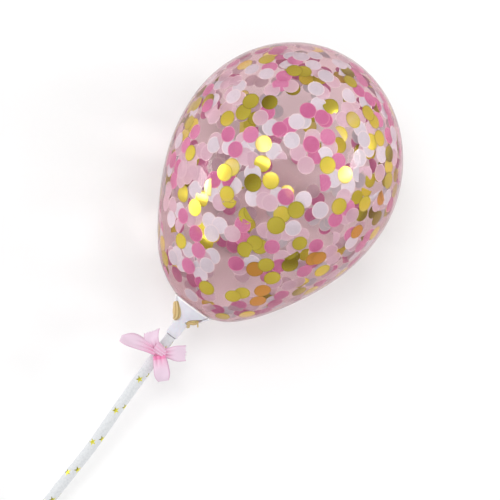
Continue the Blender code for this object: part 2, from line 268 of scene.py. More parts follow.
# Cup
cup = {
    "rimDiameter": 0.0243,
    "depth": 0.0122,
    "wall": 0.0007,
    "fillet": 0.12,
    "floorThickness": 0.0012,
    "socketLength": 0.0080,
    "socketTaper": 0.0001,
    "socketWallShare": 0.5,  # of the cup's wall, so that a gap shows round the straw
    "throatRadius": 0.00375,
    "slitCount": 3,
    "slitWidth": 0.0014,
    "slitLength": 0.0028,
    "windowLength": 0.0074,
    "windowWidth": 0.0076,
    "firstSlit": math.radians(60),
    "edgeRound": 0.00012,
    "colour": "#E3E2EA",
    "shadeColour": "#DAD9E3",
    "rimHighlightColour": "#FFFFFF",
    "rimHighlightLine": 0.0006,  # how far down the rim is painted whiter, a painted highlight
    "rimHighlightFade": (0.8, 1.2),  # shares of that line between which it fades out
}


# outside of the cup: a straight flare that rounds into the throat as a hyperbola does
def cupRadius(height):
    share = np.clip(1 + height / cup["depth"], 0.0, 1.0)
    fillet = cup["fillet"]
    flare = (np.hypot(share, fillet) - fillet) / (np.hypot(1, fillet) - fillet)
    return cup["throatRadius"] + (cup["rimDiameter"] / 2 - cup["throatRadius"]) * flare


def cupInside(height):
    step = 0.01 * cup["depth"]
    slope = np.arctan2(cupRadius(height + step) - cupRadius(height - step), 2 * step)
    return cupRadius(height) - cup["wall"] / np.cos(slope)


# half width of a slit and of the teardrop window below it: share sqrt(1 - share), widest at two thirds
def windowHalf(height):
    share = np.clip((-height - cup["slitLength"]) / cup["windowLength"], 0.0, 1.0)
    widest = 2 / 3 * math.sqrt(1 / 3)
    spread = share * np.sqrt(1 - share) / widest
    half = (cup["slitWidth"] + (cup["windowWidth"] - cup["slitWidth"]) * spread) / 2
    return np.where(share >= 1.0, 0.0, half)


# a point at an angle round the z axis, from the front to the left
def roundAxis(angle, radius, height):
    angle, radius, height = np.broadcast_arrays(angle, radius, height)
    return np.stack([-radius * np.sin(angle), -radius * np.cos(angle), height], axis=-1)


# polypropylene, injection moulded: satin, waxy white with a cool cast, faint flow marks and a fine spark
# texture, drawn at 0.5 mm where the real one is about 0.1 mm. Its rim is painted whiter, a painted highlight
def plasticMaterial():
    material = newMaterial("mouldedPolypropylene", {
        "IOR": 1.49,
        "Subsurface Weight": 0.15,
        "Subsurface Scale": 0.001,
    })
    place = addNode(material, "ShaderNodeTexCoord").outputs["Object"]
    addGrain(material, scale=2000.0, detail=1.0, strength=0.25, height=0.00003)
    flow = addNode(material, "ShaderNodeTexNoise", {"Vector": place, "Scale": 180.0, "Detail": 2.0})
    colours = addNode(material, "ShaderNodeValToRGB", {"Fac": flow.outputs["Fac"]})
    setRamp(colours, [(0.35, cup["shadeColour"]), (0.65, cup["colour"])])
    gloss = addNode(material, "ShaderNodeMapRange", {
        "Value": flow.outputs["Fac"], "To Min": 0.30, "To Max": 0.46})
    # painted highlight: the cup's colour is mixed towards white along its rim
    rim = addNode(material, "ShaderNodeAttribute", attribute_name="rim")
    edge = addNode(material, "ShaderNodeMix", {
        "Factor": rim.outputs["Fac"], 6: colours.outputs["Color"], 7: hexColour(cup["rimHighlightColour"])},
        data_type="RGBA")
    linkTo(material, {"Base Color": edge.outputs[2], "Roughness": gloss.outputs["Result"]})
    return material


# the cup: three petals between slits, each a grid whose sides follow the window, joined into one tube below
def buildCup():
    plastic = plasticMaterial()
    slitEnd = cup["slitLength"] / cup["rimHighlightLine"]
    down = np.concatenate([[0.0, *cup["rimHighlightFade"]], np.linspace(1.6, slitEnd, 6)[:-1]]) * cup["rimHighlightLine"]
    window = cup["slitLength"] + cup["windowLength"] * np.sin(np.linspace(0, math.pi / 2, 30)) ** 2
    throat = np.linspace(window[-1], cup["depth"], 7)[1:]
    mouth = cup["depth"] - cup["floorThickness"] / 2 + cup["socketLength"]
    socket = np.linspace(cup["depth"], mouth, 9)[1:]
    heights = -np.concatenate([down, window, throat, socket])
    taper = cup["socketTaper"] * np.clip((-heights - cup["depth"]) / (mouth - cup["depth"]), 0, 1)
    radii = cupRadius(heights) - taper
    sector = math.pi / cup["slitCount"]
    half = sector - np.arcsin(np.clip(windowHalf(heights) / radii, 0, 1))
    sweep = np.linspace(-1, 1, 33)
    middles = cup["firstSlit"] + sector * (1 + 2 * np.arange(cup["slitCount"]))
    angles = middles[:, None, None] + sweep[None, None, :] * half[None, :, None]
    points = roundAxis(angles, radii[None, :, None], heights[None, :, None])
    # painted highlight: 1 at the rim, fading out below it
    rim = 1 - smoothStep(*cup["rimHighlightFade"], -heights / cup["rimHighlightLine"])
    petal = gridFaces(len(heights), len(sweep))
    faces = petal[None] + (np.arange(cup["slitCount"]) * len(heights) * len(sweep))[:, None, None]
    piece = makePiece("balloonCup", points, faces.reshape(-1, 4), plastic,
                      ["balloon_cup"], values={"rim": np.broadcast_to(rim[None, :, None], points.shape[:3])})
    solid = addSolidify(piece, cup["wall"], -1.0)
    solid.vertex_group = "wall"
    below = np.zeros(3 * len(piece.data.vertices))
    piece.data.vertices.foreach_get("co", below)
    below = (below.reshape(-1, 3) - rimMiddle) @ standingAxes[2] < -cup["depth"] - 0.0005
    wall = piece.vertex_groups.new(name="wall")
    wall.add(np.nonzero(~below)[0].tolist(), 1.0, "REPLACE")
    wall.add(np.nonzero(below)[0].tolist(), cup["socketWallShare"], "REPLACE")
    bevel = piece.modifiers.new("rounded edges", "BEVEL")
    bevel.width = cup["edgeRound"]
    bevel.segments = 2
    bevel.limit_method = "ANGLE"
    bevel.angle_limit = math.radians(50)

    # the floor between cup and socket: a turned plug that meets the wall
    top = cup["floorThickness"] / 2 - cup["depth"] + cup["floorThickness"]
    heights = np.array([top, top, top - cup["floorThickness"], top - cup["floorThickness"]])
    radii = np.array([0.0, 1.0, 1.0, 0.0]) * (cupInside(heights) + cup["wall"] / 4)
    around = np.linspace(0, 2 * math.pi, 48, endpoint=False)
    points = roundAxis(around[None], radii[:, None], heights[:, None])
    makePiece("cupFloor", points, gridFaces(4, 48, wrap=True), plastic, sharp=40)


buildCup()
print("cup made")

# Balloon
balloon = {
    "diameter": 0.1271,
    "bellyHeight": 0.093,
    "crownRise": 0.0667,
    "crownPower": 1.93,
    "waistDepth": 0.85,
    "lean": math.radians(2.05),
    "leanCrossing": -0.0423,
    "leanStart": -0.002,
    "leanEnd": 0.012,
    "seatGap": 0.0003,
    "neckDepth": 0.0070,
    "neckSpace": 0.0020,
    "wall": 0.00025,
    "turns": 160,
    "dyeColour": "#CC6A80",
    "dyeDensity": 1100.0,  # light lost on the way through the skin, which is longer where it is seen edge-on
    "filmRoughness": 0.02,
    "filmIOR": 1.15,  # latex's own 1.52 would veil the outline in white
    "latexIOR": 1.52,
}


# pear outline: above the belly radius = R sqrt(1 - up^power), below it an ellipse that the waist draws in
def pearRadius(height):
    widest = balloon["diameter"] / 2
    up = np.clip((height - balloon["bellyHeight"]) / balloon["crownRise"], 0.0, 1.0)
    seat = math.sqrt(1 - (cup["rimDiameter"] / 2 / widest) ** 2)
    reach = (balloon["bellyHeight"] - balloon["seatGap"]) / seat
    down = np.clip((balloon["bellyHeight"] - height) / reach, 0.0, 1.0)
    crown = np.sqrt(1 - up ** balloon["crownPower"])
    waist = np.sqrt(1 - down ** 2) * (1 - balloon["waistDepth"] * down ** 3 * (1 - down))
    return widest * np.where(height > balloon["bellyHeight"], crown, waist)


# the balloon's axis leans to the left by tan(lean) for each metre up, and bends over just above the rim
def leanOver(points):
    height = points[..., 2]
    bend = smoothStep(balloon["leanStart"], balloon["leanEnd"], height)
    moved = points.copy()
    moved[..., 0] -= math.tan(balloon["lean"]) * (height - balloon["leanCrossing"]) * bend
    return moved


# radii and heights of the pear from its crown down to the cup's rim, in even turns of an ellipse
def balloonProfile():
    turns = np.linspace(math.pi / 2, 0, 61)
    crown = balloon["bellyHeight"] + balloon["crownRise"] * np.sin(turns)
    rim = math.acos(cup["rimDiameter"] / balloon["diameter"])
    sweep = np.linspace(0, rim, 61)[1:]
    drop = balloon["bellyHeight"] - balloon["seatGap"]
    heights = np.concatenate([crown, balloon["bellyHeight"] - drop * np.sin(sweep) / math.sin(rim)])
    return pearRadius(heights), heights


# dipped natural latex, blown thin: clear and glossy, dyed pink all through, so that it
# is darker where it is seen edge-on, with a faint ripple where it was blown unevenly
def filmMaterial():
    material = newMaterial("tintedLatexFilm", {
        "Base Color": (1.0, 1.0, 1.0, 1.0),
        "Roughness": balloon["filmRoughness"],
        "IOR": balloon["filmIOR"],
        "Transmission Weight": 1.0,
    })
    addGrain(material, scale=45.0, detail=1.0, strength=0.05, height=0.0004)
    dye = addNode(material, "ShaderNodeVolumeAbsorption", {
        "Color": hexColour(balloon["dyeColour"]), "Density": balloon["dyeDensity"]})
    end = material.node_tree.nodes["Material Output"]
    material.node_tree.links.new(dye.outputs["Volume"], end.inputs["Volume"])
    return material


# the skin: the pear's outline turned about its axis, then leaned over, laid down and flattened where it rests
def buildSkin():
    radii, heights = balloonProfile()
    neck = -balloon["neckDepth"] * np.linspace(0, 1, 9) ** 1.5
    radii = np.concatenate([radii, np.maximum(pearRadius(neck), cupInside(neck) - balloon["neckSpace"])])
    heights = np.concatenate([heights, neck])
    angles = np.linspace(0, 2 * math.pi, balloon["turns"], endpoint=False)
    points = leanOver(roundAxis(angles[None, :], radii[:, None], heights[:, None]))
    faces = gridFaces(len(heights), balloon["turns"], wrap=True)
    skin = makePiece("balloonSkin", settle(points, 0.0), faces, filmMaterial(), ["balloon"])
    addSolidify(skin, balloon["wall"], -1.0)
    skin.visible_shadow = False


# points that would be lower than the surface that the topper lies on, by less than the gap, are raised to it
def settle(points, gap):
    below = np.minimum(layDown(points)[..., 2] - gap, 0.0)
    return points - below[..., None] * standingAxes[:, 2]


buildSkin()
print("balloon skin made")

# Confetti
confetti = {
    "seed": 11,
    "diameter": 0.0090,
    "count": 720,
    "spacing": 0.0046,
    "columns": 8,
    "thickness": 0.00006,
    "clearance": 0.00015,
    "levelGap": 0.00014,  # from one disc to the next that lies under it
    "tilt": 0.008,
    "curl": 4.0,
    "curled": 0.05,  # share of the discs that are curled up, and how far
    "curledBend": 45.0,
    "folded": 0.10,  # share of the discs that are folded over
    "foldGap": 0.00015,
    "lowest": 0.003,
    "rimStart": 0.92,  # of a disc's radius, where its cut edge begins to show
    "sweep": 0.1,  # of a gold disc's tone, from its middle to its edge: a painted sheen
    "edgeOn": 0.5,  # cosine below which the discs in front are shared out as those behind are
    "goldEdge": "#7C7A14",  # colour that each gold disc is darker towards at its edge, and how much of it is mixed in
    "goldEdgeShare": 0.35,
    "shares": {"Gold": 0.24, "HotPink": 0.24, "PalePink": 0.30, "White": 0.22},
    "frontShares": {"Gold": 0.0, "HotPink": 0.06, "PalePink": 0.62, "White": 0.32},
}
# places in the picture, in pixels from its left and its
# top, of the discs that stand out on the side that shows
picturePlaces = {
    "Gold": {
        "olive": [(267, 58), (294, 70), (250, 102), (243, 112), (331, 106), (189, 153), (182, 194),
                  (252, 212), (296, 210), (299, 245), (180, 242), (244, 251), (255, 243), (260, 247),
                  (266, 266), (271, 280), (232, 298), (241, 295), (206, 289), (196, 104), (304, 71),
                  (351, 81), (277, 225)],
        "yellow": [(227, 118), (369, 113), (375, 121), (380, 138), (372, 142), (327, 166), (340, 206),
                   (366, 204), (193, 209), (281, 217), (262, 164), (269, 182), (227, 193), (228, 200),
                   (200, 200), (223, 174)],
        "bright": [(264, 142), (232, 166), (341, 134), (353, 120), (210, 189), (346, 175)],
        "dark": [(269, 103), (253, 182), (348, 71), (362, 216), (391, 153), (293, 257), (291, 265)],
        "orange": [(263, 291), (258, 302), (254, 271), (319, 260), (357, 233), (382, 199), (313, 261)],
    },
    "HotPink": {
        "hot": [(276, 51), (269, 67), (284, 76), (280, 83), (296, 59), (266, 113), (309, 109),
                (322, 118), (279, 129), (250, 135), (228, 133), (312, 144), (235, 149), (195, 131),
                (184, 146), (207, 105), (173, 159), (213, 180), (228, 182), (317, 185), (286, 196),
                (339, 162), (325, 120), (328, 137), (359, 90), (363, 80), (357, 67), (371, 98),
                (380, 118), (182, 217), (194, 235), (198, 250), (187, 267), (242, 226), (243, 238),
                (236, 264), (272, 248), (315, 248), (304, 273), (278, 268), (238, 307), (274, 305),
                (336, 220), (349, 207), (360, 248), (201, 284)],
    },
    "White": {
        "white": [(252, 68), (302, 55), (314, 63), (317, 87), (340, 63), (350, 95), (366, 103),
                  (298, 120), (275, 150), (270, 127), (361, 128), (361, 157), (382, 155), (359, 175),
                  (349, 187), (326, 154), (319, 104), (193, 111), (179, 139), (195, 189), (170, 220),
                  (212, 233), (173, 257), (187, 251), (200, 275), (305, 199), (292, 230), (252, 263)],
    },
}
clearPatches = [(253, 82, 12), (298, 97, 11), (338, 92, 11), (204, 119, 9), (288, 171, 15), (306, 180, 10),
                (224, 278, 12), (182, 281, 7)]  # places and radii where the film is bare
# painted reflection: where each look of gold sits on the gold's colour ramp
goldReflectionTones = {"dark": 0.04, "olive": 0.4, "yellow": 0.66, "bright": 0.8, "orange": 1.1}


# moves points to the wall, along lines from the middle of the belly, and depth inside it
def toWall(points, depth=0.0):
    radii, heights = balloonProfile()
    middle = np.array([0.0, 0.0, balloon["bellyHeight"]])
    away = points - middle
    fromCrown = np.arctan2(np.hypot(away[..., 0], away[..., 1]), away[..., 2])
    heights = heights - balloon["bellyHeight"]
    length = np.interp(fromCrown, np.arctan2(radii, heights), np.hypot(radii, heights)) - depth
    return middle + unit(away) * length[..., None]


# directions round and along the wall at places on it
def wallDirections(places):
    away = places - np.array([0.0, 0.0, balloon["bellyHeight"]])
    around = unit(np.stack([-away[:, 1], away[:, 0], np.zeros(len(away))], axis=-1))
    ahead = unit(np.cross(away, around))
    step = 0.0005
    along = toWall(places + ahead * step) - toWall(places - ahead * step)
    return around, unit(along)


# how far places on the wall face the camera: the cosine
# between the wall's outward direction and the way to it
def facing(places):
    around, along = wallDirections(places)
    outwards = np.cross(around, along)
    outwards *= np.sign(np.sum(outwards * (places - [0.0, 0.0, balloon["bellyHeight"]]), axis=-1))[:, None]
    toCamera = viewPlace(0, 0, studio["distance"]) - layDown(leanOver(places))
    return np.sum((outwards @ standingAxes) * unit(toCamera), axis=-1)


# the wall's place behind each place in the picture: the nearest point of a fine grid over the side that shows
def placesBehind(pixels):
    radii, heights = balloonProfile()
    angles = np.linspace(-math.pi / 2, math.pi / 2, 300)
    wall = roundAxis(angles[None, :], radii[1:, None], heights[1:, None]).reshape(-1, 3)
    wall = wall[facing(wall) > 0]
    shown = pictureOf(layDown(leanOver(wall)))
    nearest = [np.hypot(*(shown - pixel).T).argmin() for pixel in np.asarray(pixels, float)]
    return wall[nearest]


# even scatter over the wall by area, keeping pieces a least distance
# apart where there is room and leaving most of the clear patches bare
def scatterOverWall(random, count, placed):
    radii, heights = balloonProfile()
    steps = np.hypot(np.diff(radii), np.diff(heights)) * (radii[1:] + radii[:-1])
    share = np.concatenate([[0.0], np.cumsum(steps)]) / steps.sum()
    patches = np.array(clearPatches, float)
    places = placed
    while len(places) < count:
        pick, angle = random.random(40), random.random(40) * 2 * math.pi
        tries = roundAxis(angle, np.interp(pick, share, radii), np.interp(pick, share, heights))
        shown = pictureOf(layDown(leanOver(tries)))
        inPatch = np.hypot(*(shown[:, None] - patches[None, :, :2]).transpose(2, 0, 1)) < patches[:, 2]
        bare = inPatch.any(axis=1) & ((facing(tries) > 0) | (random.random(40) < 0.5))
        for place in tries[~bare & (tries[:, 2] > confetti["lowest"])]:
            near = np.linalg.norm(places - place, axis=1).min()
            if near > confetti["spacing"] * random.random() ** 0.35:
                places = np.concatenate([places, place[None]])
    return places[len(placed):count]


# levels under the film: each disc takes the first one that no disc near it has yet, so that none cuts another
def stackLevels(places):
    levels = np.zeros(len(places), int)
    for number in range(1, len(places)):
        near = np.linalg.norm(places[:number] - places[number], axis=1) < 1.03 * confetti["diameter"]
        levels[number] = np.setdiff1d(np.arange(number + 1), levels[:number][near])[0]
    return levels


# discs on the wall. One disc is a flat lens: columns x = cos t with rim points at y = +-sin t and
# middle points above and below. It is folded over beyond a column and curled as x squared, turned by
# its own angle, and each of its points is then carried to the wall and set inside it by its depth
def buildDiscs(name, places, tones, layers, random, material):
    count, columns = len(places), confetti["columns"]
    steps = np.linspace(0, math.pi, columns + 1)[:, None]
    x = np.broadcast_to(np.cos(steps), (columns + 1, 4)).ravel()
    y = (np.sin(steps) * [1.0, 0.0, -1.0, 0.0]).ravel()
    disc = np.stack([x, y], axis=-1)
    body = (0.5 + np.sin(steps) * [0.0, -0.5, 0.0, 0.5]).ravel() * confetti["thickness"]

    creases = np.cos(np.linspace(0, math.pi, columns + 1))[2:-3]
    crease = np.where(random.random(count) < confetti["folded"], random.choice(creases, count), 2.0)[:, None]
    beyond = np.maximum(x[None] - crease, 0.0)
    radius = confetti["diameter"] / 2 * (1 + 0.03 * random.standard_normal(count))[:, None]
    x, y = (x[None] - 2 * beyond) * radius, y[None] * radius
    bend = confetti["curl"] * random.random(count) ** 3
    bend = np.where(random.random(count) < confetti["curled"], confetti["curledBend"], bend)[:, None]
    depth = bend * x ** 2 + confetti["tilt"] * random.standard_normal(count)[:, None] * x
    side = np.where(random.random(count) < 0.5, 1.0, -1.0)[:, None]
    depth += body[None] + side * confetti["foldGap"] * np.minimum(beyond / 0.3, 1.0)
    inside = balloon["wall"] + confetti["clearance"] + layers
    depth += inside[:, None] - np.minimum(depth.min(axis=1), 0)[:, None]

    row, column = gridCorners(columns + 1, 4, wrap=True)
    local = disc[row * 4 + column % 4]
    around, along = wallDirections(places)
    spin = random.random(count)[:, None] * 2 * math.pi
    across, ahead = x * np.cos(spin) - y * np.sin(spin), x * np.sin(spin) + y * np.cos(spin)
    flat = places[:, None] + around[:, None] * across[..., None] + along[:, None] * ahead[..., None]
    points = settle(leanOver(toWall(flat, depth)), balloon["wall"] + confetti["clearance"])
    faces = gridFaces(columns + 1, 4, wrap=True)[None] + (np.arange(count) * 4 * (columns + 1))[:, None, None]
    makePiece(name, points, faces.reshape(-1, 4), material, uv=np.broadcast_to(local, (count, *local.shape)),
              values={"tone": np.repeat(tones, 4 * (columns + 1))}, sharp=50)


# how near a place is to its disc's cut edge: the UV map's length beyond rimStart
def rimShare(material):
    uv = addNode(material, "ShaderNodeUVMap", uv_map="UVMap").outputs["UV"]
    reach = addNode(material, "ShaderNodeVectorMath", {0: uv}, operation="LENGTH")
    start = confetti["rimStart"]
    return addNode(material, "ShaderNodeMapRange", {
        "Value": reach.outputs["Value"], "From Min": start - 0.04, "From Max": start}).outputs["Result"]


# embossed foil paper: gold with a green cast, with a painted reflection that goes from dark olive to
# bright yellow from piece to piece, as if each faced something else, a painted
# sheen that sweeps across each piece, and faint crinkles about 1.5 mm apart
def goldFoilMaterial():
    material = newMaterial("goldFoil", {"Metallic": 1.0, "Roughness": 0.3})
    tone = addNode(material, "ShaderNodeAttribute", attribute_name="tone")
    uv = addNode(material, "ShaderNodeUVMap", uv_map="UVMap").outputs["UV"]
    parts = addNode(material, "ShaderNodeSeparateXYZ", {"Vector": uv})
    # painted reflection and sheen: the disc's tone, swept across it, picks its gold colour
    paintedSheen = addNode(material, "ShaderNodeMath", {
        0: parts.outputs["X"], 1: confetti["sweep"], 2: tone.outputs["Fac"]}, operation="MULTIPLY_ADD")
    ramp = addNode(material, "ShaderNodeValToRGB", {"Fac": paintedSheen.outputs["Value"]})
    setRamp(ramp, [(0.0, "#96942C"), (1.0, "#E2B452"), (0.16, "#CCD048"), (0.5, "#EAF05E"), (0.7, "#FCFA64"),
                   (0.82, "#FFFFA0"), (0.93, "#FFF274")])
    rim = addNode(material, "ShaderNodeMath", {
        0: rimShare(material), 1: confetti["goldEdgeShare"]}, operation="MULTIPLY")
    cut = addNode(material, "ShaderNodeMix", {
        "Factor": rim.outputs["Value"], 6: ramp.outputs["Color"], 7: hexColour(confetti["goldEdge"])},
        data_type="RGBA")
    addGrain(material, scale=650.0, detail=2.0, strength=0.3, height=0.0002)
    linkTo(material, {"Base Color": cut.outputs[2]})
    return material


# tissue paper, punched: matt and thin enough to show what lies under
# it, with cloudy fibres about 1 mm across and each piece a shade apart
def tissueMaterial(name, darker, lighter, edge, alpha):
    material = newMaterial(name, {"Roughness": 0.8, "Specular IOR Level": 0.2, "Alpha": alpha})
    tone = addNode(material, "ShaderNodeAttribute", attribute_name="tone")
    fibres = addGrain(material, scale=900.0, detail=3.0, strength=0.3, height=0.0001)
    clouds = addNode(material, "ShaderNodeMapRange", {
        "Value": fibres, "From Min": 0.3, "From Max": 0.7, "To Min": -0.25, "To Max": 0.25})
    mixed = addNode(material, "ShaderNodeMath", {0: tone.outputs["Fac"], 1: clouds.outputs["Result"]},
                    operation="ADD", use_clamp=True)
    ramp = addNode(material, "ShaderNodeValToRGB", {"Fac": mixed.outputs["Value"]})
    setRamp(ramp, [(0.0, darker), (1.0, lighter)])
    cut = addNode(material, "ShaderNodeMix", {
        "Factor": rimShare(material), 6: ramp.outputs["Color"], 7: hexColour(edge)}, data_type="RGBA")
    linkTo(material, {"Base Color": cut.outputs[2]})
    return material


def buildConfetti():
    random = np.random.default_rng(confetti["seed"])
    groups = [(kind, goldReflectionTones.get(look), place)
              for kind, looks in picturePlaces.items() for look, spots in looks.items() for place in spots]
    placed = placesBehind([place for _, _, place in groups])
    filler = scatterOverWall(random, confetti["count"], placed)
    kinds = list(confetti["shares"])
    behind = random.choice(kinds, size=len(filler), p=list(confetti["shares"].values()))
    front = random.choice(kinds, size=len(filler), p=list(confetti["frontShares"].values()))
    shows = facing(filler) > confetti["edgeOn"]
    kind = np.concatenate([[group[0] for group in groups], np.where(shows, front, behind)])
    # tones: a shade apart at random for tissue, and for gold a painted reflection
    tones = random.random(len(kind)) * np.where(kind == "Gold", 0.88, 1.0)
    tones[:len(placed)] = [random.random() if tone is None else tone for _, tone, _ in groups]
    places = np.concatenate([placed, filler])
    layers = confetti["levelGap"] * stackLevels(places)
    materials = {
        "Gold": goldFoilMaterial(),
        "HotPink": tissueMaterial("hotPinkTissue", "#D678AC", "#E69AC6", "#F0AECE", 0.66),
        "PalePink": tissueMaterial("palePinkTissue", "#E0CBD8", "#EEDEE9", "#FCF0F5", 0.54),
        "White": tissueMaterial("whiteTissue", "#DCE6EC", "#EFF6FC", "#FFFFFF", 0.74),
    }
    for name, material in materials.items():
        own = kind == name
        buildDiscs(f"confetti{name}", places[own], tones[own], layers[own], random, material)


buildConfetti()
print("confetti made")

# Neck: the balloon's own neck, bunched through the left
# window, wrapped behind the throat, its lip in the right one
neck = {
    "folds": 7,
    "foldDepth": 0.10,
    "foldTwist": 1.2,
    "places": 150,
    "turns": 56,
    "colour": "#D6BE84",
    "creaseShadeColour": "#AE8A52",
}
# rows of angle from the front (degrees), height, distance
# out of the flank, half width and half thickness (mm)
neckRoute = [
    (62, -2.8, 0.3, 0.0, 0.0),
    (61, -3.1, 0.3, 1.9, 1.3),
    (56, -4.5, 0.3, 2.4, 1.6),
    (49, -6.9, 0.4, 2.8, 1.9),
    (49, -9.0, 0.4, 2.6, 1.7),
    (58, -10.6, 0.6, 1.4, 1.2),
    (76, -11.2, 0.6, 0.8, 0.6),
    (110, -11.2, 0.7, 0.8, 0.6),
    (180, -11.0, 0.7, 0.8, 0.6),
    (240, -10.8, 0.6, 0.8, 0.6),
    (268, -10.4, 0.2, 0.9, 0.7),
    (292, -9.9, -0.4, 1.0, 0.7),
    (309, -9.0, -0.8, 1.2, 0.8),
    (310, -7.8, -0.8, 1.5, 1.0),
    (303, -6.4, -0.5, 2.1, 1.3),
    (302, -5.3, -0.2, 1.4, 1.0),
    (304, -5.4, 0.8, 0.5, 0.5),
    (302, -6.2, 2.0, 0.4, 0.4),
    (299, -7.0, 3.1, 0.4, 0.35),
    (296, -7.6, 3.8, 0.0, 0.0),
]


# natural latex, bunched: waxy and amber, with painted shade, darker down in its lengthwise folds and fine
# crinkles
def neckMaterial():
    material = newMaterial("naturalLatex", {
        "Roughness": 0.4,
        "IOR": balloon["latexIOR"],
        "Subsurface Weight": 0.25,
        "Subsurface Scale": 0.001,
    })
    # painted shade: the folds and the fine grain darken the latex towards a deeper amber
    crease = addNode(material, "ShaderNodeAttribute", attribute_name="crease")
    creases = addGrain(material, scale=1200.0, detail=3.0, strength=0.5, height=0.0001)
    depth = addNode(material, "ShaderNodeMath", {0: creases, 1: 0.4, 2: crease.outputs["Fac"]},
                    operation="MULTIPLY_ADD", use_clamp=True)
    ramp = addNode(material, "ShaderNodeValToRGB", {"Fac": depth.outputs["Value"]})
    setRamp(ramp, [(0.2, neck["colour"]), (1.0, neck["creaseShadeColour"])])
    linkTo(material, {"Base Color": ramp.outputs["Color"]})
    return material


# the neck: an oval with a few lobes, carried along the route, twisting, and drawn to a point at both ends
def buildNeck():
    angle, height, out, half, thick = smoothRows(neckRoute, neck["places"]).T
    angle, height, out, half, thick = np.radians(angle), height / 1000, out / 1000, half / 1000, thick / 1000
    half[[0, -1]], thick[[0, -1]] = 0.0, 0.0
    middle = roundAxis(angle, cupRadius(height) + out, height)
    outwards = roundAxis(angle, np.ones_like(angle), np.full_like(angle, -0.5))
    ahead = unit(np.gradient(middle, axis=0))
    sideways = unit(np.cross(ahead, outwards))
    outwards = np.cross(sideways, ahead)
    turns = np.linspace(0, 2 * math.pi, neck["turns"], endpoint=False)
    share = np.linspace(0, 1, neck["places"])[:, None]
    wave = np.cos(neck["folds"] * turns[None] + neck["foldTwist"] * 2 * math.pi * share)
    lobes = 1 + neck["foldDepth"] * (1 - 2 * np.abs(wave) ** 0.6 * (wave < 0))
    across = (np.maximum(half, 0.0)[:, None] * lobes * np.cos(turns))[..., None] * sideways[:, None]
    raised = (np.maximum(thick, 0.0)[:, None] * lobes * np.sin(turns))[..., None] * outwards[:, None]
    faces = gridFaces(neck["places"], neck["turns"], wrap=True)
    # the crease values are painted shade, largest deep in each fold
    makePiece("balloonNeck", middle[:, None] + across + raised, faces, neckMaterial(),
              values={"crease": np.clip(-wave, 0, 1) ** 2 * 0.8})


buildNeck()
print("neck made")

# Straw
straw = {
    "diameter": 0.0059,
    "wall": 0.0004,
    "top": -0.0119,
    "paperColour": "#DFE1E3",
    "fibreColour": "#D2D5D8",
    "socketShadowColour": "#8A8588",
    "socketShadowLine": 0.0005,  # width of the painted shadow line across the straw at the socket's mouth
    "foilColour": "#F2EA5A",
    "foilShade": "#9A9420",
    "starReach": 0.0023,  # from a star's middle to its tips
    "starPitch": 0.02135,  # between the stars of a column
    "starColumns": 5,
    "starPhase": 0.02765,  # from the rim down to the first star of the front column
    "bareColumn": 1,  # where the print's two ends lap and no star shows
    "firstColumn": math.radians(-19),
    "twist": math.radians(13.5),  # of the columns, to the left, for each pitch down
    "bendDrop": 0.095,  # from the rim down to where the straw is bent furthest to the right, and how far
    "bend": 0.00115,
    "bendReach": 0.024,
    "windLead": 0.020,  # of the wound paper's seam
}


